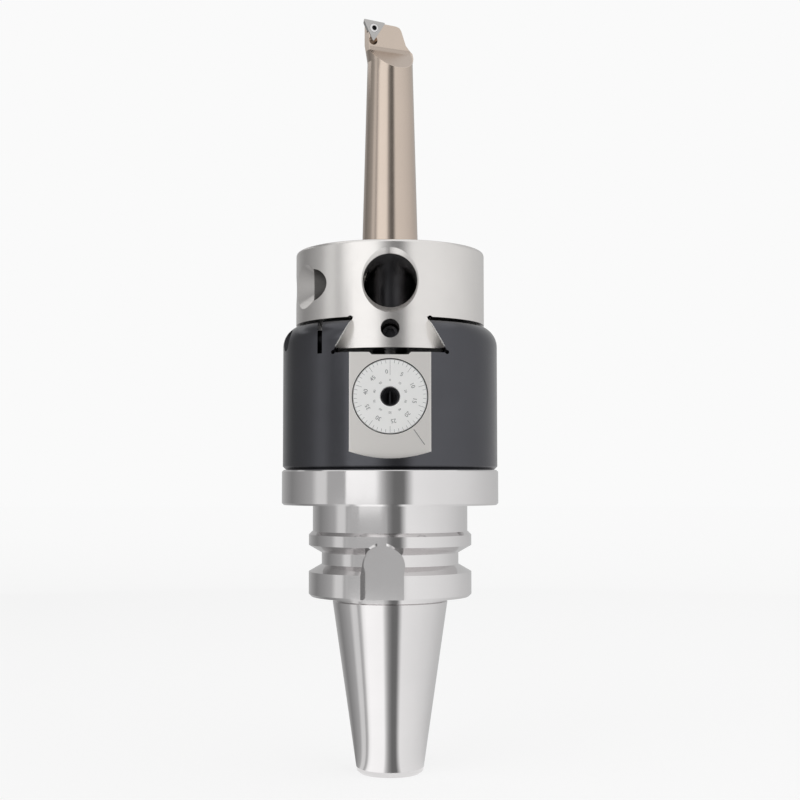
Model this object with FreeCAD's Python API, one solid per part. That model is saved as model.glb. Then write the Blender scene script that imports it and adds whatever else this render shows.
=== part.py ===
import FreeCAD, Part
import math
import os

from FreeCAD import Vector

# Boring head on a 7/24 taper shank, in millimetres.
# Origin: centre of the shank's gauge plane. +Z runs from the shank to the cutting tip, and the slide
# travels along Y, with the dial on the -Y side.

# --- Taper shank and flange (size 40) ---
gauge_diameter = 44.45
taper_ratio = 7.0 / 24.0
shank_length = 65.4
shank_end_chamfer = 1.0
gauge_gap = 2.0                 # gauge plane to the flange's lower face
relief_depth = 0.8              # undercut between the taper and the flange
flange_diameter = 63.0
flange_thickness = 25.0
flange_lower_chamfer = 1.0
flange_upper_chamfer = 1.3
grip_groove_height = 16.6       # gauge plane to the middle of the gripper groove
grip_groove_diameter = 53.0
grip_groove_floor = 4.4
grip_groove_half_angle = 30.0
stud_thread_diameter = 14.0     # tapping size of the M16 pull-stud thread
stud_thread_depth = 30.0
stud_pilot_diameter = 17.0
stud_pilot_depth = 9.0

# --- Drive keyways ---
key_width = 16.1
key_floor_distance = 22.6       # shank axis to the keyway floor
key_height = 20.55              # flange's lower face to the top of the keyway's round end
key_turn = 5.5                  # degrees the keyways are turned from the dial's side
key_edge_chamfer = 0.5

# --- Neck, collar and the joint to the head ---
neck_diameter = 60.0
neck_length = 10.1
collar_diameter = 84.0
collar_thickness = 13.5
collar_chamfer = 0.7
spigot_diameter = 50.0
spigot_height = 5.0
spigot_clearance = 0.02
spigot_end_gap = 0.3
bolt_count = 6
bolt_diameter = 5.0
bolt_head_diameter = 8.5
bolt_head_height = 5.0
bolt_head_sink = 0.4
bolt_thread_length = 12.0
bolt_socket = 4.0
bolt_hole_clearance = 0.25
bolt_end_gap = 1.0
dowel_diameter = 5.0
dowel_length = 16.0
dowel_end_gap = 0.3

# --- Head body ---
collar_overhang = 0.3           # the collar's rim stands out from the body's side
body_height = 55.6
body_bottom_chamfer = 1.3
shoulder_radius = 8.2
shoulder_height = 8.0
flat_width = 29.5               # ground flat that carries the dial
flat_end_radius = 44.8
flat_end_height = 3.8           # collar's face to the lowest point of the flat
edge_break = 0.4

# --- Dovetail ---
dovetail_angle = 30.0           # flank from the vertical
dovetail_base_width = 40.4      # across the slide's lower corners
dovetail_depth = 11.6           # slide's underside to the bottom of its dovetail
dovetail_clearance = 0.04       # square to the flank
dovetail_floor_gap = 1.95
dovetail_corner_chamfer = 0.5
corner_relief_diameter = 1.9
corner_relief_drop = 0.5        # slide's underside to the middle of its corner relief
lip_edge_break = 0.9
corner_relief_offset = 0.95
floor_channel_width = 15.2
floor_channel_depth = 0.9
slide_gap = 0.5                 # body's top face to the slide's underside

# --- Gib lip and its lock screws ---
slit_width = 1.75
lip_thickness = 3.7             # lip at the dovetail floor, between flank and slit
gib_screw_diameter = 8.0
gib_screw_length = 10.0
gib_screw_socket = 4.0
gib_screw_pitch = 12.0
gib_screw_height = 6.75         # dovetail floor to the screws' axis
screw_tip_gap = 0.1

# --- Slide ---
slide_diameter = 73.4
slide_thickness = 28.5
slide_top_fillet = 1.4
slide_bottom_chamfer = 0.4
travel_out = 16.0               # towards +Y
travel_back = 4.0

# --- Bar bores and clamp screws ---
bar_bore_diameter = 20.02
bore_countersink = 2.0
cross_bore_height = 13.3        # slide's underside to the cross bore's axis
bar_bore_floor = 1.9            # slide's underside to the bottom of the upright bore
clamp_screw_diameter = 12.0
clamp_screw_length = 20.0
side_clamp_screw_length = 11.0
clamp_screw_socket = 6.0
clamp_screw_pitch = 22.0
clamp_hole_chamfer = 0.6        # where each hole's axis meets the slide's side
side_screw_setback = 0.6        # side clamp screws stop short of the cross bore's wall
screw_clearance = 0.05
socket_depth_ratio = 0.45       # set screw's socket depth over its length, at most

# --- Feed screw, dial and nut ---
feed_axis_height = 26.4         # collar's face to the feed screw's axis
dial_diameter = 27.2
dial_gap = 0.3
dial_thickness = 9.0
dial_recess = 0.05
dial_back_gap = 0.45
dial_web = 1.35
dial_eye_diameter = 7.4
dial_edge_chamfer = 0.3
key_socket = 6.0
key_socket_depth = 5.2
key_socket_pilot = 5.5          # drilled hole behind the hexagon, with a pointed end
key_socket_point = 1.6
nose_diameter = 10.0
dial_pin_diameter = 2.0
dial_pin_back = 1.25            # dial's back face to the pin's axis
seal_section = 1.6
seal_setback = 4.45             # dial's face to the middle of its seal
bearing_bore_diameter = 26.0
ring_thickness = 4.35
ring_spanner_hole = 2.5
flange_collar_diameter = 18.0
flange_collar_thickness = 3.0
thrust_bush_length = 5.0
axial_play = 0.05
nut_bore_diameter = 24.0
feed_thread_diameter = 9.9
journal_diameter = 7.0
rear_bush_length = 7.0
running_clearance = 0.05
nut_length = 22.0
nut_end_room = 1.0
nut_clearance = 0.3
peg_diameter = 13.4
peg_height = 10.4               # part of the peg inside the slide
peg_end_gap = 0.3
peg_stud_diameter = 9.0
peg_stud_length = 3.6
peg_screw_diameter = 7.0
peg_screw_length = 12.0
peg_screw_socket = 3.5
peg_screw_height = 7.0          # bottom of the dovetail to the screw's axis

# --- Boring bar ---
bar_shank_diameter = 19.97
bar_end_gap = 0.3
bar_shoulder_gap = 0.2
bar_undercut_width = 1.2
bar_undercut_depth = 0.4
bar_base_diameter = 22.0
bar_tip_diameter = 17.9
bar_length = 92.3               # slide's top face to the top of the bar's head
bar_taper_length = 76.0
head_diameter = 20.2
head_flare_length = 7.5
head_end_distance = 9.15        # bar axis to the flat end face beside the insert
rake_length = 10.8              # flat rake face, from the ramp to the head's top
ramp_angle = 45.0
ramp_radius = 4.0               # cutter's radius between the rake face and the ramp
head_top_slope = 3.0
bar_turn = 25.0                 # degrees the bar is turned in its bore
back_top = 4.7                 # bar axis to the narrowed back of the head, at its top
back_middle = 7.0
back_middle_drop = 7.8          # below the head's top
back_bottom_drop = 11.8
back_corner = 2.0               # rounding of the head's upper back corner
bar_edge_break = 0.6

# --- Insert ---
insert_circle = 5.56            # inscribed circle
insert_thickness = 2.38
insert_nose_radius = 0.4
insert_relief_angle = 11.0
insert_hole_diameter = 2.5
insert_countersink_diameter = 3.7
tip_distance = 11.6             # bar axis to the sharp corner of the insert
tip_rise = 0.6                  # insert's sharp corner above the holder's top
rake_set_down = 0.2             # holder's flat below the insert's top face
pocket_clearance = 0.03
pocket_relief_diameter = 3.6
pocket_relief_extra = 2.0       # relief's depth below the pocket's floor
insert_screw_diameter = 2.2
insert_screw_length = 6.0
insert_screw_sink = 0.1         # screw's head below the insert's face
insert_screw_recess = 1.6
insert_screw_recess_depth = 0.9

# --- Heights and places that follow ---
flange_bottom = gauge_gap
flange_top = flange_bottom + flange_thickness
collar_bottom = flange_top + neck_length
body_bottom = collar_bottom + collar_thickness
body_top = body_bottom + body_height
slide_bottom = body_top + slide_gap
slide_top = slide_bottom + slide_thickness
dovetail_bottom = slide_bottom - dovetail_depth
dovetail_floor = dovetail_bottom - dovetail_floor_gap
cross_bore_z = slide_bottom + cross_bore_height
bar_bore_bottom = slide_bottom + bar_bore_floor
feed_axis_z = body_bottom + feed_axis_height
peg_screw_z = dovetail_bottom + peg_screw_height
gib_screw_z = dovetail_floor + gib_screw_height
head_top = slide_top + bar_length

body_radius = collar_diameter / 2 - collar_overhang
slide_radius = slide_diameter / 2
flank_slope = math.tan(math.radians(dovetail_angle))
flank_gap = dovetail_clearance / math.cos(math.radians(dovetail_angle))
base_half = dovetail_base_width / 2
floor_half = base_half + dovetail_floor_gap * flank_slope + flank_gap
slit_inner_x = -(floor_half + lip_thickness)
slit_x = slit_inner_x - slit_width / 2
bolt_circle_radius = (neck_diameter + collar_diameter) / 4
bar_bore_radius = bar_bore_diameter / 2

# Places along Y of the feed train, from the dial to the rear.
flat_y = -math.sqrt(body_radius ** 2 - (flat_width / 2) ** 2)
dial_front_y = flat_y + dial_recess
dial_back_y = dial_front_y + dial_thickness
nose_front_y = dial_front_y + dial_web
pocket_floor_y = dial_back_y + dial_back_gap
ring_front_y = pocket_floor_y + axial_play
ring_back_y = ring_front_y + ring_thickness
flange_front_y = ring_back_y + axial_play
flange_back_y = flange_front_y + flange_collar_thickness
bush_front_y = flange_back_y + axial_play
bush_back_y = bush_front_y + thrust_bush_length
rear_bush_y = nut_length / 2 + travel_out + nut_end_room
nut_bore_end_y = rear_bush_y + rear_bush_length


# --- Helpers ---
def polygon_face(points):
    return Part.Face(Part.makePolygon(points + [points[0]]))


def revolve(profile):
    """Solid of revolution about Z from (radius, height) points."""
    face = polygon_face([Vector(r, 0, z) for r, z in profile])
    return face.revolve(Vector(0, 0, 0), Vector(0, 0, 1), 360)


def revolve_y(profile, z):
    """Solid of revolution about the Y line at height z from (radius, y) points."""
    face = polygon_face([Vector(r, y, z) for r, y in profile])
    return face.revolve(Vector(0, 0, z), Vector(0, 1, 0), 360)


def prism_y(profile, y_start, y_end):
    """Prism along Y from (x, z) points."""
    face = polygon_face([Vector(x, y_start, z) for x, z in profile])
    return face.extrude(Vector(0, y_end - y_start, 0))


def rod(radius, start, end):
    """Cylinder from one centre point to another."""
    return Part.makeCylinder(radius, (end - start).Length, start, end - start)


def cone_rod(radius_start, radius_end, start, end):
    return Part.makeCone(radius_start, radius_end, (end - start).Length, start, end - start)


def box(x, y, z):
    """Box from three (low, high) pairs."""
    size = [high - low for low, high in (x, y, z)]
    return Part.makeBox(*size, Vector(x[0], y[0], z[0]))


def hex_prism(across_flats, start, end, turn=0.0):
    """Six-sided prism between two points, with a corner turned from its own X direction."""
    radius = across_flats / math.sqrt(3)
    corners = [Vector(radius * math.cos(math.radians(60 * i + turn)),
                      radius * math.sin(math.radians(60 * i + turn)), 0) for i in range(6)]
    prism = polygon_face(corners).extrude(Vector(0, 0, (end - start).Length))
    prism.Placement = FreeCAD.Placement(start, FreeCAD.Rotation(Vector(0, 0, 1), end - start))
    return prism


def around_z(shape, degrees):
    turned = shape.copy()
    turned.rotate(Vector(0, 0, 0), Vector(0, 0, 1), degrees)
    return turned


def circle_z(radius, degrees, z):
    angle = math.radians(degrees)
    return Vector(radius * math.cos(angle), radius * math.sin(angle), z)


def set_screw(diameter, length, socket, tip, outward):
    """Socket set screw: its tip at a point, its socket facing outward."""
    radius = diameter / 2 - screw_clearance
    direction = Vector(outward).normalize()
    end = tip + direction * length
    break_size = radius / 6
    body = rod(radius, tip + direction * break_size, end - direction * break_size)
    tip_cone = cone_rod(radius - break_size, radius, tip, tip + direction * break_size)
    end_cone = cone_rod(radius, radius - break_size, end - direction * break_size, end)
    depth = min(socket, length * socket_depth_ratio)
    blank = body.fuse([tip_cone, end_cone]).removeSplitter()
    return blank.cut(hex_prism(socket, end - direction * depth, end))


def bolt_angles():
    return [360.0 / bolt_count * i for i in range(bolt_count)]


def dowel_angle():
    """Half way between two bolts, on the side away from the dial."""
    return 360.0 / bolt_count * (round(bolt_count / 4.0 - 0.5) + 0.5)


# --- Arbor ---
def arbor_profile():
    gauge_r = gauge_diameter / 2
    end_r = gauge_r - shank_length * taper_ratio / 2
    flange_r = flange_diameter / 2
    groove_r = grip_groove_diameter / 2
    groove_low = grip_groove_height - grip_groove_floor / 2
    groove_high = grip_groove_height + grip_groove_floor / 2
    run = (flange_r - groove_r) * math.tan(math.radians(grip_groove_half_angle))
    collar_r = collar_diameter / 2
    return [
        (0, -shank_length),
        (end_r - shank_end_chamfer, -shank_length),
        (end_r + shank_end_chamfer * taper_ratio / 2, -shank_length + shank_end_chamfer),
        (gauge_r, 0),
        (gauge_r - relief_depth, relief_depth / 2),
        (gauge_r - relief_depth, flange_bottom),
        (flange_r - flange_lower_chamfer, flange_bottom),
        (flange_r, flange_bottom + flange_lower_chamfer),
        (flange_r, groove_low - run),
        (groove_r, groove_low),
        (groove_r, groove_high),
        (flange_r, groove_high + run),
        (flange_r, flange_top - flange_upper_chamfer),
        (flange_r - flange_upper_chamfer, flange_top),
        (neck_diameter / 2, flange_top),
        (neck_diameter / 2, collar_bottom),
        (collar_r - collar_chamfer, collar_bottom),
        (collar_r, collar_bottom + collar_chamfer),
        (collar_r, body_bottom - collar_chamfer),
        (collar_r - collar_chamfer, body_bottom),
        (spigot_diameter / 2, body_bottom),
        (spigot_diameter / 2, body_bottom + spigot_height),
        (0, body_bottom + spigot_height),
    ]


def keyway(side):
    """One drive keyway with a full-radius upper end and broken edges, on the -Y (1) or +Y (-1) side."""
    half = key_width / 2
    outer = flange_diameter / 2 + 1
    centre_z = flange_bottom + key_height - half
    slot = box((-half, half), (-outer, -key_floor_distance), (flange_bottom - 1, centre_z))
    end = rod(half, Vector(0, -outer, centre_z), Vector(0, -key_floor_distance, centre_z))
    edge_y = -math.sqrt((flange_diameter / 2) ** 2 - half ** 2)
    lead_in = cone_rod(half + key_edge_chamfer * 2, half, Vector(0, edge_y - key_edge_chamfer * 2, centre_z),
                       Vector(0, edge_y, centre_z))
    turn = key_turn if side > 0 else 180 + key_turn
    return around_z(slot.fuse([end, lead_in]), -turn)


def stud_thread():
    mouth = Vector(0, 0, -shank_length)
    pilot = rod(stud_pilot_diameter / 2, mouth, Vector(0, 0, -shank_length + stud_pilot_depth))
    thread_top = -shank_length + stud_pilot_depth + stud_thread_depth
    thread = rod(stud_thread_diameter / 2, mouth, Vector(0, 0, thread_top))
    drill_point = cone_rod(stud_thread_diameter / 2, 0, Vector(0, 0, thread_top),
                           Vector(0, 0, thread_top + stud_thread_diameter / 4))
    return pilot.fuse([thread, drill_point])


def arbor_bolt_holes():
    holes = []
    for angle in bolt_angles():
        low = circle_z(bolt_circle_radius, angle, collar_bottom)
        seat = circle_z(bolt_circle_radius, angle, collar_bottom + bolt_head_sink + bolt_head_height)
        high = circle_z(bolt_circle_radius, angle, body_bottom)
        holes.append(rod(bolt_head_diameter / 2 + bolt_hole_clearance, low, seat))
        holes.append(rod(bolt_diameter / 2 + bolt_hole_clearance, low, high))
    return holes


def dowel_rod(extra_radius, extra_length):
    half = dowel_length / 2 + extra_length
    radius = dowel_diameter / 2 + extra_radius
    low = circle_z(bolt_circle_radius, dowel_angle(), body_bottom - half)
    return rod(radius, low, low + Vector(0, 0, 2 * half))


def taper_arbor():
    cuts = [keyway(1), keyway(-1), stud_thread(), dowel_rod(0, dowel_end_gap)] + arbor_bolt_holes()
    return revolve(arbor_profile()).cut(cuts)


def arbor_bolt(angle):
    head_low = circle_z(bolt_circle_radius, angle, collar_bottom + bolt_head_sink)
    head_high = head_low + Vector(0, 0, bolt_head_height)
    end = circle_z(bolt_circle_radius, angle, body_bottom + bolt_thread_length)
    head = rod(bolt_head_diameter / 2, head_low, head_high)
    shank = rod(bolt_diameter / 2, head_high, end)
    socket = hex_prism(bolt_socket, head_low, head_low + Vector(0, 0, bolt_head_height / 2))
    return head.fuse(shank).cut(socket)


def arbor_bolts():
    return Part.makeCompound([arbor_bolt(angle) for angle in bolt_angles()])


def arbor_dowel():
    return dowel_rod(0, 0)


# --- Head body ---
def body_blank():
    """Turned blank: chamfered foot and a rounded shoulder cut off by the flat top face."""
    r = body_radius
    shoulder_z = body_top - shoulder_height
    top_r = r - shoulder_radius + math.sqrt(shoulder_radius ** 2 - shoulder_height ** 2)
    middle_angle = math.asin(shoulder_height / shoulder_radius) / 2
    middle = Vector(r - shoulder_radius * (1 - math.cos(middle_angle)), 0,
                    shoulder_z + shoulder_radius * math.sin(middle_angle))
    foot = [Vector(0, 0, body_bottom), Vector(r - body_bottom_chamfer, 0, body_bottom),
            Vector(r, 0, body_bottom + body_bottom_chamfer), Vector(r, 0, shoulder_z)]
    top = Vector(top_r, 0, body_top)
    centre = Vector(0, 0, body_top)
    edges = [Part.makeLine(a, b) for a, b in zip(foot, foot[1:])]
    edges.append(Part.Arc(foot[-1], middle, top).toShape())
    edges.append(Part.makeLine(top, centre))
    edges.append(Part.makeLine(centre, foot[0]))
    return Part.Face(Part.Wire(edges)).revolve(Vector(0, 0, 0), Vector(0, 0, 1), 360)


def flank_x(z):
    """Half-width of the body's dovetail slot at height z."""
    return base_half + (dovetail_bottom - z) * flank_slope + flank_gap


def dovetail_slot():
    reach = body_radius + 1
    over = body_top + 1
    slot = prism_y([(-floor_half, dovetail_floor), (floor_half, dovetail_floor),
                    (flank_x(over), over), (-flank_x(over), over)], -reach, reach)
    tip = flank_x(body_top)
    lips = [prism_y([(side * (tip - lip_edge_break), body_top + lip_edge_break),
                     (side * (tip + lip_edge_break * 2), body_top + lip_edge_break),
                     (side * flank_x(body_top - lip_edge_break), body_top - lip_edge_break)],
                    -reach, reach) for side in (-1, 1)]
    inset = corner_relief_diameter / 4
    reliefs = [rod(corner_relief_diameter / 2 - edge_break / 2,
                   Vector(side * (floor_half - inset), -reach, dovetail_floor + inset / 2),
                   Vector(side * (floor_half - inset), reach, dovetail_floor + inset / 2)) for side in (-1, 1)]
    half = floor_channel_width / 2
    channel = prism_y([(-half, dovetail_floor), (half, dovetail_floor),
                       (half - floor_channel_depth, dovetail_floor - floor_channel_depth),
                       (-half + floor_channel_depth, dovetail_floor - floor_channel_depth)], -reach, reach)
    return [slot, channel] + lips + reliefs


def gib_slit():
    reach = body_radius + 1
    half = slit_width / 2
    return box((slit_x - half, slit_x + half), (-reach, reach), (dovetail_floor, body_top + 1))


def gib_screw_rows():
    return {"front": -gib_screw_pitch, "middle": 0.0, "rear": gib_screw_pitch}


def gib_screw_holes():
    mouth_x = -body_radius - 1
    return [rod(gib_screw_diameter / 2, Vector(slit_x, y, gib_screw_z), Vector(mouth_x, y, gib_screw_z))
            for y in gib_screw_rows().values()]


def dial_flat():
    centre_z = body_bottom + flat_end_height + flat_end_radius
    return rod(flat_end_radius, Vector(0, -body_radius - 1, centre_z), Vector(0, flat_y, centre_z))


def feed_bore():
    """Stepped bore, blind at the rear: dial pocket, bearing bore and nut bore."""
    pocket_r = dial_diameter / 2 + dial_gap
    return revolve_y([(0, flat_y - 1), (pocket_r, flat_y - 1), (pocket_r, pocket_floor_y),
                      (bearing_bore_diameter / 2, pocket_floor_y), (bearing_bore_diameter / 2, bush_back_y),
                      (nut_bore_diameter / 2, bush_back_y), (nut_bore_diameter / 2, nut_bore_end_y),
                      (0, nut_bore_end_y)], feed_axis_z)


def peg_slot():
    """Slot through the dovetail floor that lets the drive peg travel."""
    half = peg_diameter / 2 + nut_clearance
    floor = dovetail_floor + 1
    slot = box((-half, half), (-travel_back, travel_out), (feed_axis_z, floor))
    ends = [rod(half, Vector(0, y, feed_axis_z), Vector(0, y, floor)) for y in (-travel_back, travel_out)]
    return [slot] + ends


def head_joint_holes():
    spigot = rod(spigot_diameter / 2 + spigot_clearance, Vector(0, 0, body_bottom),
                 Vector(0, 0, body_bottom + spigot_height + spigot_end_gap))
    top = body_bottom + bolt_thread_length + bolt_end_gap
    bolts = [rod(bolt_diameter / 2, circle_z(bolt_circle_radius, angle, body_bottom),
                 circle_z(bolt_circle_radius, angle, top)) for angle in bolt_angles()]
    return [spigot, dowel_rod(0, dowel_end_gap)] + bolts


def head_body():
    cuts = [dial_flat(), feed_bore(), gib_slit()] + dovetail_slot() + gib_screw_holes()
    return body_blank().cut(cuts + peg_slot() + head_joint_holes())


def gib_screw(y):
    tip = Vector(slit_inner_x - screw_tip_gap, y, gib_screw_z)
    return set_screw(gib_screw_diameter, gib_screw_length, gib_screw_socket, tip, Vector(-1, 0, 0))


# --- Feed train ---
def micrometer_dial():
    r = dial_diameter / 2
    groove_r = seal_major_radius() - seal_section / 2
    groove_low = dial_front_y + seal_setback - seal_section / 2 - running_clearance
    groove_high = dial_front_y + seal_setback + seal_section / 2 + running_clearance
    dial = revolve_y([(dial_eye_diameter / 2, dial_front_y), (r - dial_edge_chamfer, dial_front_y),
                      (r, dial_front_y + dial_edge_chamfer), (r, groove_low), (groove_r, groove_low),
                      (groove_r, groove_high), (r, groove_high), (r, dial_back_y),
                      (nose_diameter / 2, dial_back_y), (nose_diameter / 2, nose_front_y),
                      (dial_eye_diameter / 2, nose_front_y)], feed_axis_z)
    return dial.cut(dial_pin())


def seal_major_radius():
    return dial_diameter / 2 + dial_gap - running_clearance - seal_section / 2


def dial_seal():
    """Square-cut sealing ring with broken corners, in the dial's groove."""
    half = seal_section / 2
    c = half / 2
    outer = seal_major_radius() + half
    inner = seal_major_radius() - half
    y = dial_front_y + seal_setback
    return revolve_y([(inner, y - c), (inner + c, y - half), (outer - c, y - half), (outer, y - c),
                      (outer, y + c), (outer - c, y + half), (inner + c, y + half), (inner, y + c)], feed_axis_z)


def dial_pin():
    y = dial_back_y - dial_pin_back
    reach = dial_diameter / 2 - dial_gap
    return rod(dial_pin_diameter / 2, Vector(0, y, feed_axis_z - reach), Vector(0, y, feed_axis_z + reach))


def lead_screw():
    nose_r = nose_diameter / 2
    flange_r = flange_collar_diameter / 2
    thread_r = feed_thread_diameter / 2
    journal_r = journal_diameter / 2
    thread_end_y = rear_bush_y - axial_play
    screw = revolve_y([(0, nose_front_y), (nose_r, nose_front_y), (nose_r, flange_front_y),
                       (flange_r, flange_front_y), (flange_r, flange_back_y), (nose_r, flange_back_y),
                       (nose_r, bush_back_y), (thread_r, bush_back_y), (thread_r, thread_end_y),
                       (journal_r, thread_end_y), (journal_r, nut_bore_end_y - axial_play * 10),
                       (0, nut_bore_end_y - axial_play * 10)], feed_axis_z)
    mouth = Vector(0, nose_front_y, feed_axis_z)
    end = mouth + Vector(0, key_socket_depth, 0)
    point = cone_rod(key_socket_pilot / 2, 0, end, end + Vector(0, key_socket_point, 0))
    return screw.cut([hex_prism(key_socket, mouth, end), point, dial_pin()])


def bush(outer_diameter, inner_diameter, y_start, y_end):
    return revolve_y([(inner_diameter / 2 + running_clearance, y_start), (outer_diameter / 2, y_start),
                      (outer_diameter / 2, y_end), (inner_diameter / 2 + running_clearance, y_end)], feed_axis_z)


def retaining_ring():
    """Threaded ring that traps the feed screw's flange, with two spanner holes."""
    ring = bush(bearing_bore_diameter, nose_diameter, ring_front_y, ring_back_y)
    centre = (bearing_bore_diameter + nose_diameter) / 4
    holes = [rod(ring_spanner_hole / 2, Vector(side * centre, ring_front_y, feed_axis_z),
                 Vector(side * centre, ring_front_y + ring_thickness / 2, feed_axis_z)) for side in (-1, 1)]
    return ring.cut(holes)


def thrust_bush():
    return bush(bearing_bore_diameter, nose_diameter, bush_front_y, bush_back_y)


def rear_bush():
    return bush(nut_bore_diameter, journal_diameter, rear_bush_y, nut_bore_end_y)


def nut_top_z():
    return feed_axis_z + nut_bore_diameter / 2 - nut_clearance


def feed_nut():
    half = nut_length / 2
    outer = nut_bore_diameter / 2 - nut_clearance
    inner = feed_thread_diameter / 2 + running_clearance
    nut = revolve_y([(inner, -half), (outer - edge_break, -half), (outer, -half + edge_break),
                     (outer, half - edge_break), (outer - edge_break, half), (inner, half)], feed_axis_z)
    stud_end = Vector(0, 0, peg_seat_z() - peg_stud_length)
    stud_hole = rod(peg_stud_diameter / 2, stud_end, Vector(0, 0, nut_top_z() + 1))
    seat = rod(peg_diameter / 2 + nut_clearance, Vector(0, 0, peg_seat_z()), Vector(0, 0, nut_top_z() + 1))
    return nut.cut([stud_hole, seat])


def peg_seat_z():
    """Height of the flat spot-faced into the round nut for the peg's shoulder."""
    outer = nut_bore_diameter / 2 - nut_clearance
    reach = peg_diameter / 2 + nut_clearance
    return feed_axis_z + math.sqrt(outer ** 2 - reach ** 2)


def drive_peg():
    seat = peg_seat_z()
    top = dovetail_bottom + peg_height
    r = peg_diameter / 2
    stud_r = peg_stud_diameter / 2
    return revolve([(0, seat - peg_stud_length), (stud_r, seat - peg_stud_length), (stud_r, seat), (r, seat),
                    (r, top - edge_break), (r - edge_break, top), (0, top)])


def peg_clamp_screw():
    tip = Vector(0, -peg_diameter / 2 - screw_tip_gap, peg_screw_z)
    return set_screw(peg_screw_diameter, peg_screw_length, peg_screw_socket, tip, Vector(0, -1, 0))


# --- Slide ---
def slide_blank():
    """Turned disc with the male dovetail milled across its lower face."""
    r = slide_radius
    disc = Part.makeCylinder(r, slide_thickness, Vector(0, 0, slide_bottom))
    rim = [edge for edge in disc.Edges if edge.BoundBox.ZMin > slide_top - 0.01 and edge.Length > r]
    disc = disc.makeFillet(slide_top_fillet, rim)
    c = dovetail_corner_chamfer
    top = slide_bottom + c
    outline = [(-base_half + c, dovetail_bottom), (base_half - c, dovetail_bottom),
               (base_half - c * flank_slope, dovetail_bottom + c), (slide_flank_x(top), top),
               (-slide_flank_x(top), top), (-base_half + c * flank_slope, dovetail_bottom + c)]
    tail = prism_y(outline, -r - 1, r + 1)
    root = Part.makeCylinder(r, top - dovetail_bottom, Vector(0, 0, dovetail_bottom))
    return disc.fuse(tail.common(root)).removeSplitter()


def slide_flank_x(z):
    """Half-width of the slide's own dovetail at height z."""
    return base_half + (dovetail_bottom - z) * flank_slope


def slide_corner_reliefs():
    reach = slide_radius + 1
    z = slide_bottom - corner_relief_drop
    x = slide_flank_x(z) + corner_relief_offset
    return [rod(corner_relief_diameter / 2, Vector(side * x, -reach, z), Vector(side * x, reach, z))
            for side in (-1, 1)]


def bar_bores():
    reach = slide_radius + 1
    upright = rod(bar_bore_radius, Vector(0, 0, bar_bore_bottom), Vector(0, 0, slide_top + 1))
    cross = rod(bar_bore_radius, Vector(0, -reach, cross_bore_z), Vector(0, reach, cross_bore_z))
    sinks = [cone_rod(bar_bore_radius + bore_countersink + 1, bar_bore_radius,
                      Vector(0, side * (slide_radius + 1), cross_bore_z),
                      Vector(0, side * (slide_radius - bore_countersink), cross_bore_z)) for side in (-1, 1)]
    return [upright, cross] + sinks


def clamp_screw_rows():
    """Y position, tip X and length of each bar clamp screw."""
    side_tip = -(bar_bore_radius + side_screw_setback)
    middle_tip = -(bar_shank_diameter / 2 + screw_tip_gap)
    return {"front": (-clamp_screw_pitch, side_tip, side_clamp_screw_length),
            "middle": (0.0, middle_tip, clamp_screw_length),
            "rear": (clamp_screw_pitch, side_tip, side_clamp_screw_length)}


def clamp_screw_holes():
    """Tapped holes, each countersunk square to its axis until its mouth on the round side is clean."""
    r = clamp_screw_diameter / 2
    holes = []
    for y, tip, length in clamp_screw_rows().values():
        mouth_x = -math.sqrt(slide_radius ** 2 - y ** 2)
        rise = mouth_x + slide_radius + 1
        outside = Vector(-slide_radius - 1, y, cross_bore_z)
        holes.append(rod(r, Vector(-bar_bore_radius / 2, y, cross_bore_z), outside))
        holes.append(cone_rod(r, r + clamp_hole_chamfer + rise,
                              Vector(mouth_x + clamp_hole_chamfer, y, cross_bore_z), outside))
    return holes


def peg_holes():
    peg_top = dovetail_bottom + peg_height + peg_end_gap
    peg = rod(peg_diameter / 2, Vector(0, 0, dovetail_bottom - 1), Vector(0, 0, peg_top))
    screw = rod(peg_screw_diameter / 2, Vector(0, 0, peg_screw_z), Vector(0, -slide_radius - 1, peg_screw_z))
    return [peg, screw]


def slide_block():
    return slide_blank().cut(slide_corner_reliefs() + bar_bores() + clamp_screw_holes() + peg_holes())


def bar_clamp_screw(y, tip_x, length):
    tip = Vector(tip_x, y, cross_bore_z)
    return set_screw(clamp_screw_diameter, length, clamp_screw_socket, tip, Vector(-1, 0, 0))


# --- Boring bar: made with its cutting tip towards +X and its rake face towards +Y, then turned ---
def place_bar(shape):
    return around_z(shape, 180 + bar_turn)


def bar_blank():
    low = bar_bore_bottom + bar_end_gap
    shank_r = bar_shank_diameter / 2
    neck_r = shank_r - bar_undercut_depth
    shoulder = slide_top + bar_shoulder_gap
    taper_top = slide_top + bar_taper_length
    head_r = head_diameter / 2
    base_r = bar_base_diameter / 2
    return revolve([(0, low), (shank_r - bar_edge_break, low), (shank_r, low + bar_edge_break),
                    (shank_r, shoulder - bar_undercut_width), (neck_r, shoulder - bar_undercut_width),
                    (neck_r, shoulder), (base_r - bar_edge_break, shoulder), (base_r, shoulder + bar_edge_break),
                    (bar_tip_diameter / 2, taper_top), (head_r, taper_top + head_flare_length),
                    (head_r, head_top), (0, head_top)])


def rake_cut():
    """Removes the half in front of the rake face, down a ramp to the bar's surface."""
    reach = head_diameter
    ramp_top = head_top - rake_length
    run = math.tan(math.radians(ramp_angle))
    face = polygon_face([Vector(-reach, -rake_set_down, ramp_top), Vector(-reach, -rake_set_down, head_top + 1),
                         Vector(-reach, reach, head_top + 1),
                         Vector(-reach, reach, ramp_top - (reach + rake_set_down) / run)])
    cut = face.extrude(Vector(2 * reach, 0, 0))
    corner = [edge for edge in cut.Edges if edge.BoundBox.XLength > reach and
              abs(edge.CenterOfMass.y + rake_set_down) < 0.01 and abs(edge.CenterOfMass.z - ramp_top) < 0.01]
    return cut.makeFillet(ramp_radius, corner)


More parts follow.
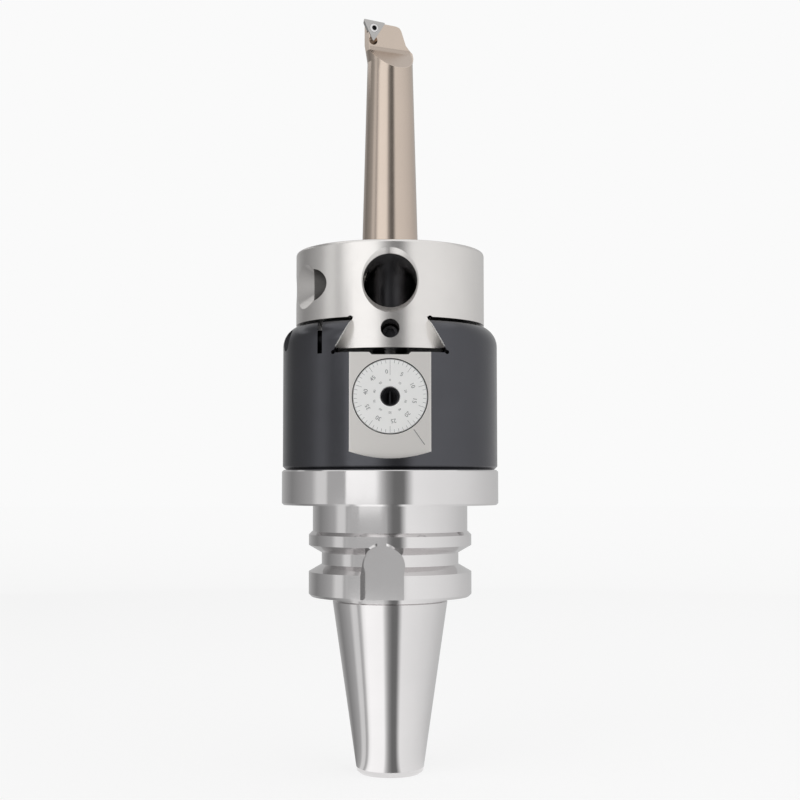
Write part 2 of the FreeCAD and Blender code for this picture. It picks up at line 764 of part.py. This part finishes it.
def head_outline_cuts():
    """End face beside the insert, sloping top and the narrowed back of the head."""
    reach = head_diameter
    low = head_top - back_bottom_drop
    end = box((head_end_distance, reach), (-reach, reach), (low, head_top + 1))
    slope = math.tan(math.radians(head_top_slope))
    fall = (head_end_distance + reach) * slope
    top = prism_y([(head_end_distance + 1, head_top + slope), (head_end_distance + 1, head_top + 2),
                   (-reach, head_top + 2), (-reach, head_top - fall)], -reach, reach)
    corner_x = -back_top + back_corner
    corner_z = head_top - (head_end_distance - corner_x) * slope
    back = prism_y([(corner_x, head_top + 1), (corner_x, corner_z),
                    (corner_x - back_corner * 0.7, corner_z - back_corner * 0.2),
                    (corner_x - back_corner * 1.15, corner_z - back_corner * 0.75),
                    (-back_middle, head_top - back_middle_drop),
                    (-head_diameter / 2 - edge_break, head_top - back_bottom_drop),
                    (-reach, head_top - back_bottom_drop), (-reach, head_top + 1)], -reach, reach)
    return [end, top, back]


def insert_corners(clearance):
    """Corners of the insert's outline in the rake plane: tip, along the top edge, and the lower one."""
    side = (insert_circle + 2 * clearance) * math.sqrt(3)
    tip = Vector(tip_distance, 0, head_top + tip_rise)
    top_angle = math.radians(180 + head_top_slope)
    low_angle = top_angle + math.radians(60)
    centre = tip + Vector(math.cos(top_angle + math.radians(30)), 0, math.sin(top_angle + math.radians(30))) \
        * insert_circle
    grow = (insert_circle + 2 * clearance) / insert_circle
    corners = [tip, tip + Vector(math.cos(top_angle), 0, math.sin(top_angle)) * (side / grow),
               tip + Vector(math.cos(low_angle), 0, math.sin(low_angle)) * (side / grow)]
    return [centre + (corner - centre) * grow for corner in corners], centre


def insert_pocket():
    corners, centre = insert_corners(pocket_clearance)
    floor = Vector(0, -insert_thickness, 0)
    depth = Vector(0, insert_thickness + 1, 0)
    pocket = polygon_face([corner + floor for corner in corners]).extrude(depth)
    low = corners[2] + (centre - corners[2]).normalize() * (pocket_relief_diameter / 6)
    relief_floor = low + floor - Vector(0, pocket_relief_extra, 0)
    relief = rod(pocket_relief_diameter / 2, relief_floor, low + Vector(0, 1, 0))
    screw_end = centre - Vector(0, insert_screw_length, 0)
    screw_hole = rod(insert_screw_diameter / 2, screw_end - Vector(0, edge_break, 0), centre)
    return [pocket, relief, screw_hole]


def boring_bar():
    return place_bar(bar_blank().cut([rake_cut()] + head_outline_cuts() + insert_pocket()))


def rounded_triangle(corners, centre, shrink, radius, y):
    """Wire round a triangle whose sides are moved in by shrink, with rounded corners."""
    scale = (insert_circle / 2 - shrink) / (insert_circle / 2)
    points = [centre + (corner - centre) * scale + Vector(0, y, 0) for corner in corners]
    edges = []
    starts, ends = [], []
    tangent = radius * math.sqrt(3)
    for i in range(3):
        point = points[i]
        before = (points[i - 1] - point).normalize()
        after = (points[(i + 1) % 3] - point).normalize()
        inward = (before + after).normalize()
        starts.append(point + before * tangent)
        ends.append(point + after * tangent)
        edges.append(Part.Arc(starts[i], point + inward * radius, ends[i]).toShape())
    for i in range(3):
        edges.append(Part.makeLine(ends[i], starts[(i + 1) % 3]))
    return Part.Wire(Part.__sortEdges__(edges))


def cutting_insert():
    corners, centre = insert_corners(0)
    shrink = insert_thickness * math.tan(math.radians(insert_relief_angle))
    top = rounded_triangle(corners, centre, 0, insert_nose_radius, 0)
    low = rounded_triangle(corners, centre, shrink, insert_nose_radius, -insert_thickness)
    body = Part.makeLoft([top, low], True, True)
    hole = rod(insert_hole_diameter / 2, centre - Vector(0, insert_thickness, 0), centre)
    sink_depth = (insert_countersink_diameter - insert_hole_diameter) / 2
    sink = cone_rod(insert_hole_diameter / 2, insert_countersink_diameter / 2,
                    centre - Vector(0, sink_depth, 0), centre)
    return place_bar(body.cut([hole, sink]))


def insert_screw():
    """Countersunk screw with a six-lobed recess, a little below the insert's face."""
    centre = insert_corners(0)[1]
    shank_r = insert_screw_diameter / 2
    face_y = -insert_screw_sink
    head_r = insert_countersink_diameter / 2 - insert_screw_sink - running_clearance
    profile = [(0, -insert_screw_length), (shank_r, -insert_screw_length), (shank_r, face_y - (head_r - shank_r)),
               (head_r, face_y), (0, face_y)]
    screw = revolve_y(profile, 0)
    screw.translate(centre)
    face = centre + Vector(0, face_y, 0)
    recess = [hex_prism(insert_screw_recess, face - Vector(0, insert_screw_recess_depth, 0), face, turn)
              for turn in (0, 30)]
    return place_bar(screw.cut(recess))


# --- Export ---
def parts():
    made = {
        "taper_arbor": taper_arbor(),
        "arbor_bolts": arbor_bolts(),
        "arbor_dowel": arbor_dowel(),
        "head_body": head_body(),
        "retaining_ring": retaining_ring(),
        "thrust_bush": thrust_bush(),
        "rear_bush": rear_bush(),
        "micrometer_dial": micrometer_dial(),
        "dial_seal": dial_seal(),
        "dial_pin": dial_pin(),
        "lead_screw": lead_screw(),
        "feed_nut": feed_nut(),
        "drive_peg": drive_peg(),
        "peg_clamp_screw": peg_clamp_screw(),
        "slide_block": slide_block(),
        "boring_bar": boring_bar(),
        "cutting_insert": cutting_insert(),
        "insert_screw": insert_screw(),
    }
    for name, y in gib_screw_rows().items():
        made["gib_screw_" + name] = gib_screw(y)
    for name, (y, tip_x, length) in clamp_screw_rows().items():
        made["bar_clamp_screw_" + name] = bar_clamp_screw(y, tip_x, length)
    return made


os.makedirs("parts", exist_ok=True)
for node, shape in parts().items():
    shape.exportStep(os.path.join("parts", node + ".step"))
    print(node, "valid" if shape.isValid() else "INVALID", len(shape.Solids), round(shape.Volume, 1))
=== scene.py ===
import bpy
import math
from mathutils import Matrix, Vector

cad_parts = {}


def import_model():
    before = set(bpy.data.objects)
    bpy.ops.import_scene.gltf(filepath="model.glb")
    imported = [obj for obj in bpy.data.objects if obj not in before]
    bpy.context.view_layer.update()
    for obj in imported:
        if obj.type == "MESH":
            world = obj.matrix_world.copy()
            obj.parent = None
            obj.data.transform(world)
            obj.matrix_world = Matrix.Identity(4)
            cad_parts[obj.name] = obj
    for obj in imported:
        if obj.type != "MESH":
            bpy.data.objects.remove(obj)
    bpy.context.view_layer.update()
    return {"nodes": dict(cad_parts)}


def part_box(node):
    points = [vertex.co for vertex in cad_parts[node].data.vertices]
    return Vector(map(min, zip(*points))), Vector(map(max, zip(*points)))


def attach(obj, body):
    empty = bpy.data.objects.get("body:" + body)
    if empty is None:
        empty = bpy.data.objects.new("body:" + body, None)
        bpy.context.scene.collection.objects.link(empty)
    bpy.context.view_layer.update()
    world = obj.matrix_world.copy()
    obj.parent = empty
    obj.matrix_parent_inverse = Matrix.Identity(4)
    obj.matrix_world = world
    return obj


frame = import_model()
NODES = frame["nodes"]
MM = 0.001


# --- Node-tree helpers ---
class Tree:
    """A material's or world's node tree, with short ways to add and join nodes."""

    def __init__(self, owner):
        owner.use_nodes = True
        self.tree = owner.node_tree
        self.tree.nodes.clear()

    def add(self, kind, **values):
        node = self.tree.nodes.new(kind)
        for key, value in values.items():
            setattr(node, key, value)
        return node

    def link(self, source, target):
        self.tree.links.new(source, target)

    def feed(self, socket, value):
        if isinstance(value, bpy.types.NodeSocket):
            self.link(value, socket)
        else:
            socket.default_value = value

    def math(self, operation, a, b=0.0, clamp=False):
        node = self.add("ShaderNodeMath", operation=operation, use_clamp=clamp)
        self.feed(node.inputs[0], a)
        self.feed(node.inputs[1], b)
        return node.outputs[0]

    def ramp(self, factor, stops):
        node = self.add("ShaderNodeValToRGB")
        elements = node.color_ramp.elements
        while len(elements) < len(stops):
            elements.new(0.5)
        for element, (position, colour) in zip(elements, stops):
            element.position = position
            element.color = (*colour, 1.0) if len(colour) == 3 else colour
        self.link(factor, node.inputs[0])
        return node.outputs[0]

    def noise(self, vector, scale, detail=2.0, roughness=0.5):
        node = self.add("ShaderNodeTexNoise")
        self.link(vector, node.inputs["Vector"])
        node.inputs["Scale"].default_value = scale
        node.inputs["Detail"].default_value = detail
        node.inputs["Roughness"].default_value = roughness
        return node.outputs["Fac"]

    def combine(self, x, y, z):
        node = self.add("ShaderNodeCombineXYZ")
        for socket, value in zip(node.inputs, (x, y, z)):
            self.feed(socket, value)
        return node.outputs[0]

    def spread(self, factor, low, high):
        """A 0-1 value mapped to low-high."""
        node = self.add("ShaderNodeMapRange")
        self.link(factor, node.inputs["Value"])
        node.inputs["To Min"].default_value = low
        node.inputs["To Max"].default_value = high
        return node.outputs["Result"]

    def mix(self, factor, a, b):
        node = self.add("ShaderNodeMix", data_type="RGBA")
        self.feed(node.inputs["Factor"], factor)
        for name, value in (("A", a), ("B", b)):
            socket = [s for s in node.inputs if s.name == name and s.type == "RGBA"][0]
            self.feed(socket, (*value, 1.0) if isinstance(value, tuple) else value)
        return [s for s in node.outputs if s.type == "RGBA"][0]


def tone(colour, factor):
    return tuple(min(1.0, channel * factor) for channel in colour)


def axis_coordinates(t, axis, centre):
    """Distance from an axis and position along it, in millimetres, from object coordinates."""
    coordinates = t.add("ShaderNodeTexCoord").outputs["Object"]
    split = t.add("ShaderNodeSeparateXYZ")
    t.link(coordinates, split.inputs[0])
    parts = [t.math("MULTIPLY", t.math("SUBTRACT", split.outputs[i], centre[i]), 1 / MM) for i in range(3)]
    along = parts[axis]
    across = [parts[i] for i in range(3) if i != axis]
    square = t.math("ADD", t.math("MULTIPLY", across[0], across[0]), t.math("MULTIPLY", across[1], across[1]))
    return t.math("SQRT", square), along, parts, coordinates


def machined(name, colour, roughness, axis=2, centre=(0, 0, 0), lines=0.35, bump=0.02, line_size=6.0,
             cloud=0.05, metallic=1.0, areas=()):
    """Turned or ground metal: fine lines round an axis, soft clouding and uneven polish.

    areas lists (where, colour, roughness): where is a function of the tree and the position that returns
    1 on an area with a colour of its own, such as a ground flat, or painted shade in a threaded hole."""
    material = bpy.data.materials.new(name)
    t = Tree(material)
    radius, along, parts, coordinates = axis_coordinates(t, axis, centre)
    shader = t.add("ShaderNodeBsdfPrincipled")
    rings = t.combine(t.math("MULTIPLY", radius, line_size), t.math("MULTIPLY", along, line_size), 0.0)
    fine = t.noise(rings, 1.0, 3.0, 0.7)
    clouds = t.noise(coordinates, 45.0, 3.0, 0.55)
    smears = t.noise(coordinates, 260.0, 2.0, 0.6)
    base = t.mix(t.spread(clouds, 0.0, 1.0), tone(colour, 1 - cloud), tone(colour, 1 + cloud))
    base = t.mix(t.spread(fine, 0.0, lines * 0.3), base, tone(colour, 0.72))
    rough = t.spread(t.math("ADD", t.math("MULTIPLY", fine, lines), t.math("MULTIPLY", smears, 1 - lines)),
                     roughness * 0.7, roughness * 1.3)
    for where, area_colour, area_roughness in areas:
        inside = where(t, parts)
        area = t.mix(t.spread(fine, 0.0, 0.5), tone(area_colour, 1.04), tone(area_colour, 0.9))
        base = t.mix(inside, base, area)
        kept = t.math("MULTIPLY", rough, t.math("SUBTRACT", 1.0, inside))
        rough = t.math("ADD", kept, t.math("MULTIPLY", inside, area_roughness))
    t.link(base, shader.inputs["Base Color"])
    t.link(rough, shader.inputs["Roughness"])
    shader.inputs["Metallic"].default_value = metallic
    relief = t.add("ShaderNodeBump")
    relief.inputs["Strength"].default_value = bump
    relief.inputs["Distance"].default_value = 0.05 * MM
    t.link(fine, relief.inputs["Height"])
    t.link(relief.outputs[0], shader.inputs["Normal"])
    output = t.add("ShaderNodeOutputMaterial")
    t.link(shader.outputs[0], output.inputs["Surface"])
    return material


# --- Colours (linear) ---
STEEL = (0.77, 0.755, 0.755)
NICKEL = (0.80, 0.777, 0.757)
CHAMPAGNE = (0.62, 0.525, 0.45)
BLACK_OXIDE = (0.095, 0.096, 0.106)
GROUND = (0.90, 0.875, 0.845)
DIAL = (0.95, 0.95, 0.94)
BRONZE = (0.55, 0.36, 0.15)
# Black of the screws; also painted shade in holes, sockets, recesses, the slot's floor and the bar's shank.
SCREW_BLACK_AND_SHADE = (0.06, 0.06, 0.065)
# Painted shade inside the bar clamp screws' threaded holes in the slide.
THREAD_SHADE = (0.16, 0.155, 0.15)
# Ground metal of the dovetail's flanks, whiter than the flat so their reflection in the slide reads bright; on
# the body's top rim the same colour is a painted edge highlight.
FLANK = (0.95, 0.94, 0.92)
# Champagne darkened as painted shade for the bar's upward-facing ramp.
RAMP_SHADE = (0.47, 0.40, 0.345)
CARBIDE = (0.50, 0.49, 0.48)
RUBBER = (0.02, 0.02, 0.021)
INK = (0.22, 0.22, 0.225)

DIAL_LOW, DIAL_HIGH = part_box("micrometer_dial")
DIAL_CENTRE = (DIAL_LOW + DIAL_HIGH) / 2
DIAL_FACE_Y = DIAL_LOW.y
DIAL_RADIUS = (DIAL_HIGH.x - DIAL_LOW.x) / 2


SLIDE_LOW, SLIDE_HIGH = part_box("slide_block")
DOVETAIL_BOTTOM = SLIDE_LOW.z / MM
DOVETAIL_HALF = 20.2
FLANK_SLOPE = math.tan(math.radians(30))

BODY_LOW, BODY_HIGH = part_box("head_body")
BODY_RADIUS = BODY_HIGH.y / MM
FLAT_Y = DIAL_FACE_Y / MM - 0.05
FLAT_ARC_RADIUS = 44.8
FLAT_ARC_Z = BODY_LOW.z / MM + 3.8 + FLAT_ARC_RADIUS
# Half-width of the painted highlight band on the body's top rim, in millimetres.
RIM_HIGHLIGHT_BAND = 0.32

BAR_LOW, BAR_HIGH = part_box("boring_bar")
BAR_TURN = math.radians(25)
HEAD_RADIUS = 10.1
RAKE_LENGTH = 10.8


def reach(t, a, b):
    """Length of the vector (a, b)."""
    return t.math("SQRT", t.math("ADD", t.math("MULTIPLY", a, a), t.math("MULTIPLY", b, b)))


def within(t, value, centre, half):
    return t.math("LESS_THAN", t.math("ABSOLUTE", t.math("SUBTRACT", value, centre)), half)


def both(t, a, b):
    return t.math("MULTIPLY", a, b)


def near_axis(t, parts, axis, centre, radius):
    """1 inside a round hole along an axis; centre gives the two other coordinates."""
    others = [parts[i] for i in range(3) if i != axis]
    offsets = [t.math("SUBTRACT", value, middle) for value, middle in zip(others, centre)]
    return t.math("LESS_THAN", reach(t, *offsets), radius)


def node_middle(name):
    low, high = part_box(name)
    return (low + high) / 2 / MM


def dial_flat(t, parts):
    """The ground flat round the dial."""
    arc = reach(t, parts[0], t.math("SUBTRACT", parts[2], FLAT_ARC_Z))
    return both(t, within(t, parts[1], FLAT_Y, 0.06), t.math("LESS_THAN", arc, FLAT_ARC_RADIUS))


def flanks_and_rim(t, parts):
    """The sliding flanks of the dovetail, and a band along the body's top rim that is a painted edge highlight.
    """
    rise = t.math("SUBTRACT", parts[2], DOVETAIL_BOTTOM)
    flank = t.math("SUBTRACT", DOVETAIL_HALF, t.math("MULTIPLY", rise, FLANK_SLOPE))
    sliding = both(t, within(t, t.math("ABSOLUTE", parts[0]), flank, 0.14), t.math("GREATER_THAN", rise, 0.4))
    rim = both(t, within(t, reach(t, parts[0], parts[1]), BODY_RADIUS, RIM_HIGHLIGHT_BAND),
               within(t, parts[2], BODY_HIGH.z / MM, RIM_HIGHLIGHT_BAND))
    return t.math("MAXIMUM", rim, sliding)


def slot_floor(t, parts):
    """The dovetail's floor and its corners, painted near-black as shade in the gap under the slide."""
    inside = both(t, t.math("LESS_THAN", reach(t, parts[0], parts[1]), BODY_RADIUS - 0.05),
                  t.math("LESS_THAN", FLAT_Y + 0.1, parts[1]))
    low = both(t, within(t, parts[2], DOVETAIL_BOTTOM - 1.6, 1.95),
               t.math("LESS_THAN", t.math("ABSOLUTE", parts[0]), DOVETAIL_HALF + 2.5))
    return both(t, inside, low)


def gib_holes(t, parts):
    """The threaded holes of the gib screws, seen from the side, painted near-black as shade inside them."""
    holes = 0.0
    for name in ("gib_screw_front", "gib_screw_middle", "gib_screw_rear"):
        middle = node_middle(name)
        hole = near_axis(t, parts, 0, (middle.y, middle.z), 4.04)
        holes = t.math("MAXIMUM", hole, holes)
    return both(t, holes, t.math("LESS_THAN", parts[0], 0.0))


def clamp_holes(t, parts):
    """The threaded holes of the bar's clamp screws, painted dark as shade inside them."""
    holes = 0.0
    for name in ("bar_clamp_screw_front", "bar_clamp_screw_middle", "bar_clamp_screw_rear"):
        middle = node_middle(name)
        hole = near_axis(t, parts, 0, (middle.y, middle.z), 6.04)
        holes = t.math("MAXIMUM", hole, holes)
    return both(t, holes, t.math("LESS_THAN", parts[0], -10.3))


def bar_shank(t, parts):
    """The bar's shank, which stands inside the slide, painted near-black as the shade in the bore."""
    return t.math("LESS_THAN", parts[2], SLIDE_HIGH.z / MM - 0.3)


def milled_ramp(t, parts):
    """The ramp below the rake face, cut with a coarse radius cutter, painted darker as shade because it faces
    up.
    """
    top = BAR_HIGH.z / MM - RAKE_LENGTH + 1.0
    inside = t.math("LESS_THAN", reach(t, parts[0], parts[1]), HEAD_RADIUS - 1.25)
    return both(t, inside, within(t, parts[2], top - 6.0, 6.0))


def across_rake(t, parts, centre, radius):
    """1 near an axis square to the rake face, through centre; the bar is turned in its bore."""
    turned = t.math("ADD", t.math("MULTIPLY", t.math("SUBTRACT", parts[0], centre.x), math.cos(BAR_TURN)),
                    t.math("MULTIPLY", t.math("SUBTRACT", parts[1], centre.y), math.sin(BAR_TURN)))
    return t.math("LESS_THAN", reach(t, turned, t.math("SUBTRACT", parts[2], centre.z)), radius)


def screw_recess(t, parts):
    """The drive recess in the insert screw's head, painted near-black as shade."""
    return across_rake(t, parts, node_middle("insert_screw"), 1.0)


def key_socket(t, parts):
    """The hexagon socket in the feed screw's nose, painted near-black as the shade inside it."""
    return both(t, near_axis(t, parts, 1, (0.0, 0.0), 3.48), t.math("LESS_THAN", parts[1], 10.0))


def materials():
    screw_axis = tuple(DIAL_CENTRE)
    return {
        "polished": machined("polished_steel", STEEL, 0.10, lines=0.5, bump=0.012),
        "black": machined("black_oxide", BLACK_OXIDE, 0.22, lines=0.3, bump=0.02, cloud=0.12,
                          areas=[(flanks_and_rim, FLANK, 0.5), (dial_flat, GROUND, 0.42),
                                 (slot_floor, SCREW_BLACK_AND_SHADE, 0.7), (gib_holes, SCREW_BLACK_AND_SHADE, 0.6)]),
        "nickel": machined("satin_nickel", NICKEL, 0.24, lines=0.35, bump=0.02,
                           areas=[(clamp_holes, THREAD_SHADE, 0.5)]),
        "champagne": machined("champagne_nickel", CHAMPAGNE, 0.17, lines=0.4, bump=0.02,
                              areas=[(bar_shank, SCREW_BLACK_AND_SHADE, 0.35), (milled_ramp, RAMP_SHADE, 0.3)]),
        "dial": machined("dial_silver", DIAL, 0.6, axis=1, centre=screw_axis, lines=0.5, bump=0.02),
        "bronze": machined("bearing_bronze", BRONZE, 0.25, axis=1, centre=screw_axis),
        "bright": machined("bright_steel", STEEL, 0.14, axis=1, centre=screw_axis,
                           areas=[(key_socket, SCREW_BLACK_AND_SHADE, 0.4)]),
        "screw": machined("screw_black", SCREW_BLACK_AND_SHADE, 0.34, cloud=0.15, line_size=3.0),
        "bolt": machined("bolt_steel", STEEL, 0.2, lines=0.4, cloud=0.08,
                         areas=[(screw_recess, SCREW_BLACK_AND_SHADE, 0.6)]),
        "carbide": machined("coated_carbide", CARBIDE, 0.28, lines=0.2, cloud=0.1),
        "rubber": machined("seal_rubber", RUBBER, 0.6, metallic=0.0, cloud=0.2),
        "ink": machined("engraved_ink", INK, 0.55, metallic=0.0, cloud=0.15),
    }


M = materials()
FINISHES = {
    "polished": ["taper_arbor"],
    "black": ["head_body"],
    "nickel": ["slide_block"],
    "champagne": ["boring_bar"],
    "dial": ["micrometer_dial"],
    "bronze": ["thrust_bush", "rear_bush", "feed_nut"],
    "bright": ["retaining_ring", "lead_screw", "drive_peg", "arbor_dowel", "dial_pin"],
    "screw": ["peg_clamp_screw", "gib_screw_front", "gib_screw_middle", "gib_screw_rear",
              "bar_clamp_screw_front", "bar_clamp_screw_middle", "bar_clamp_screw_rear"],
    "bolt": ["arbor_bolts", "insert_screw"],
    "carbide": ["cutting_insert"],
    "rubber": ["dial_seal"],
}
for finish, names in FINISHES.items():
    for node_name in names:
        mesh = NODES[node_name].data
        mesh.materials.clear()
        mesh.materials.append(M[finish])


# --- Dial scale ---
def new_object(name, data, body, material):
    piece = bpy.data.objects.new(name, data)
    bpy.context.scene.collection.objects.link(piece)
    data.materials.append(material)
    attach(piece, body)
    return piece


def plate_mesh(name, quads, face_y):
    """Thin plates on a Y plane: each quad is four (x, z) corners, given as offsets from the dial's centre."""
    verts, faces = [], []
    for corners in quads:
        start = len(verts)
        for y in (-ENGRAVING_RISE, ENGRAVING_DEPTH - ENGRAVING_RISE):
            verts += [(DIAL_CENTRE.x + x, face_y + y, DIAL_CENTRE.z + z) for x, z in corners]
        faces += [(start, start + 1, start + 2, start + 3), (start + 7, start + 6, start + 5, start + 4)]
        faces += [(start + i, start + 4 + i, start + 4 + (i + 1) % 4, start + (i + 1) % 4) for i in range(4)]
    mesh = bpy.data.meshes.new(name)
    mesh.from_pydata(verts, [], faces)
    mesh.update()
    return mesh


def radial_mark(angle, inner, outer, width):
    """Corners of a mark along a radius; angle is clockwise from the top."""
    direction = Vector((math.sin(angle), math.cos(angle)))
    side = Vector((direction.y, -direction.x)) * width / 2
    return [tuple(direction * inner - side), tuple(direction * inner + side),
            tuple(direction * outer + side), tuple(direction * outer - side)]


ENGRAVING_RISE = 0.012 * MM
ENGRAVING_DEPTH = 0.03 * MM
DIVISIONS = 50
NUMBER_STEP = 5
RIM = DIAL_RADIUS - 0.35 * MM
NUMBER_OFFSET = math.radians(8)


def dial_scale():
    marks = []
    for i in range(DIVISIONS):
        angle = 2 * math.pi * i / DIVISIONS
        length = 5.6 if i == 0 else 2.4 if i % NUMBER_STEP == 0 else 1.2
        marks.append(radial_mark(angle, RIM - length * MM, RIM, 0.11 * MM))
    new_object("dial_scale", plate_mesh("dial_scale", marks, DIAL_FACE_Y), "dial", M["ink"])


def number(text, name, body, angle, radius, size, face_y):
    """One small numeral on a Y plane, upright along its radius."""
    curve = bpy.data.curves.new(name, "FONT")
    curve.body = text
    curve.align_x = "CENTER"
    curve.align_y = "CENTER"
    curve.size = size
    curve.extrude = ENGRAVING_DEPTH / 2
    piece = bpy.data.objects.new(name, curve)
    bpy.context.scene.collection.objects.link(piece)
    piece.location = (DIAL_CENTRE.x + radius * math.sin(angle), face_y, DIAL_CENTRE.z + radius * math.cos(angle))
    piece.rotation_euler = (math.pi / 2, angle, 0)
    bpy.context.view_layer.update()
    mesh = bpy.data.meshes.new_from_object(piece)
    mesh.transform(piece.matrix_world)
    bpy.data.objects.remove(piece)
    return new_object(name, mesh, body, M["ink"])


def dial_numbers():
    """Outer numbers for the radius and small inner ones for the diameter, each beside its line."""
    for i in range(DIVISIONS // NUMBER_STEP):
        angle = 2 * math.pi * i * NUMBER_STEP / DIVISIONS - NUMBER_OFFSET
        value = i * NUMBER_STEP
        number(str(value), "dial_number_%02d" % value, "dial", angle, 9.0 * MM, 2.1 * MM, DIAL_FACE_Y)
        number(str(2 * value), "dial_inner_number_%02d" % (2 * value), "dial", angle + NUMBER_OFFSET,
               5.9 * MM, 1.15 * MM, DIAL_FACE_Y)


def index_line():
    """Index engraved on the flat, below and to the right of the dial."""
    mark = radial_mark(math.radians(144.5), 14.8 * MM, 21.6 * MM, 0.26 * MM)
    new_object("index_line", plate_mesh("index_line", [mark], FLAT_Y * MM), "arbor", M["ink"])


dial_scale()
dial_numbers()
index_line()


# --- Stage: white floor, soft light tent ---
FLOOR_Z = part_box("taper_arbor")[0].z
BACKGROUND = 0.956
TENT_RADIUS = 0.95
TENT_HEIGHT = 1.3
DISH_RADIUS = 0.016

# Brightness of the tent's wall by azimuth, in degrees from the front towards +X.
TENT_TONES = [(-180, 0.52), (-154, 0.44), (-124, 0.25), (-104, 0.35), (-88, 0.45), (-80, 0.76), (-69, 0.76),
              (-66, 0.46), (-61, 0.55), (-56, 1.05), (-48, 1.22), (-15, 1.18), (-9, 0.62), (-3, 0.32),
              (4, 0.17), (14, 0.17), (19, 0.55), (24, 0.97), (60, 0.90), (90, 0.80), (120, 0.66), (150, 0.57),
              (180, 0.52)]


def stage_mesh(name, verts, faces, material):
    mesh = bpy.data.meshes.new(name)
    mesh.from_pydata(verts, [], faces)
    mesh.materials.append(material)
    piece = bpy.data.objects.new(name, mesh)
    bpy.context.scene.collection.objects.link(piece)
    return piece


def seen_directly(t):
    """1 for rays from the camera, and for those that a gloss or a glass sends on."""
    path = t.add("ShaderNodeLightPath")
    total = t.math("ADD", path.outputs["Is Camera Ray"], path.outputs["Is Glossy Ray"])
    return t.math("ADD", total, path.outputs["Is Transmission Ray"], clamp=True)


def floor():
    material = bpy.data.materials.new("white_floor")
    t = Tree(material)
    matte = t.add("ShaderNodeBsdfDiffuse")
    matte.inputs["Color"].default_value = (0.30, 0.30, 0.30, 1.0)
    glow = t.add("ShaderNodeEmission")
    t.link(t.math("MULTIPLY", seen_directly(t), FLOOR_GLOW), glow.inputs["Strength"])
    both = t.add("ShaderNodeAddShader")
    t.link(matte.outputs[0], both.inputs[0])
    t.link(glow.outputs[0], both.inputs[1])
    t.link(both.outputs[0], t.add("ShaderNodeOutputMaterial").inputs["Surface"])
    half = 6.0
    verts = [(-half, -half, FLOOR_Z), (half, -half, FLOOR_Z), (half, half, FLOOR_Z), (-half, half, FLOOR_Z)]
    stage_mesh("floor", verts, [(0, 1, 2, 3)], material)


FLOOR_GLOW = 0.74


def tent():
    material = bpy.data.materials.new("tent_wall")
    t = Tree(material)
    split = t.add("ShaderNodeSeparateXYZ")
    t.link(t.add("ShaderNodeTexCoord").outputs["Object"], split.inputs[0])
    angle = t.math("ARCTAN2", split.outputs[0], t.math("MULTIPLY", split.outputs[1], -1.0))
    place = t.math("ADD", t.math("DIVIDE", angle, 2 * math.pi), 0.5)
    stops = [((degrees + 180) / 360, (level, level, level)) for degrees, level in TENT_TONES]
    glow = t.add("ShaderNodeEmission")
    t.link(t.ramp(place, stops), glow.inputs["Color"])
    t.link(glow.outputs[0], t.add("ShaderNodeOutputMaterial").inputs["Surface"])
    segments = 96
    verts, dish_verts, faces = [], [], []
    for i in range(segments):
        a = 2 * math.pi * i / segments
        x, y = math.sin(a), -math.cos(a)
        verts += [(TENT_RADIUS * x, TENT_RADIUS * y, FLOOR_Z + 0.001),
                  (TENT_RADIUS * x, TENT_RADIUS * y, FLOOR_Z + TENT_HEIGHT)]
        dish_verts += [(DISH_RADIUS * x, DISH_RADIUS * y, FLOOR_Z + 0.0005),
                       (TENT_RADIUS * x, TENT_RADIUS * y, FLOOR_Z + 0.02)]
        j = (i + 1) % segments
        faces.append((2 * i, 2 * i + 1, 2 * j + 1, 2 * j))
    wall = stage_mesh("tent_wall", verts, faces, material)
    wall.visible_camera = False
    # The dish over the floor glows only in reflections: a painted reflection of the tent's wall below the
    # object, in place of the floor.
    dish = stage_mesh("tent_dish", dish_verts, faces, material)
    dish.visible_camera = False
    dish.visible_diffuse = False
    dish.visible_shadow = False


def grey_card(name, azimuths, heights, level):
    """Card that only reflections see; it trims the left softbox. Azimuths are in degrees."""
    material = bpy.data.materials.new(name)
    t = Tree(material)
    glow = t.add("ShaderNodeEmission")
    glow.inputs["Strength"].default_value = level
    t.link(glow.outputs[0], t.add("ShaderNodeOutputMaterial").inputs["Surface"])
    verts, faces = [], []
    segments = 8
    for i in range(segments + 1):
        a = math.radians(azimuths[0] + (azimuths[1] - azimuths[0]) * i / segments)
        verts += [(CARD_RADIUS * math.sin(a), -CARD_RADIUS * math.cos(a), z) for z in heights]
        if i:
            faces.append((2 * i - 2, 2 * i - 1, 2 * i + 1, 2 * i))
    card = stage_mesh(name, verts, faces, material)
    card.visible_camera = False
    card.visible_diffuse = False
    card.visible_shadow = False


CARD_RADIUS = 0.55


def world():
    scene_world = bpy.data.worlds.new("studio")
    bpy.context.scene.world = scene_world
    t = Tree(scene_world)
    sky = t.add("ShaderNodeBackground")
    sky.inputs["Color"].default_value = (1.0, 1.0, 1.0, 1.0)
    t.link(t.spread(seen_directly(t), 0.7, BACKGROUND), sky.inputs["Strength"])
    t.link(sky.outputs[0], t.add("ShaderNodeOutputWorld").inputs["Surface"])


def camera():
    data = bpy.data.cameras.new("camera")
    data.lens = 63.2
    data.sensor_width = 36.0
    data.shift_x = 0.0124
    data.clip_start = 0.01
    eye = bpy.data.objects.new("camera", data)
    eye.location = (0.0, -0.548, 0.04555)
    eye.rotation_euler = (math.pi / 2 + 0.059, 0.0, 0.0)
    bpy.context.scene.collection.objects.link(eye)
    bpy.context.scene.camera = eye


floor()
tent()
grey_card("card_body", (-66, -45), (0.028, 0.165), 0.45)
grey_card("card_neck", (-60, -4), (-0.045, 0.026), 0.5)
grey_card("card_head", (-150, -112), (0.375, 0.47), 0.75)
world()
camera()
bpy.context.scene.view_settings.view_transform = "Standard"
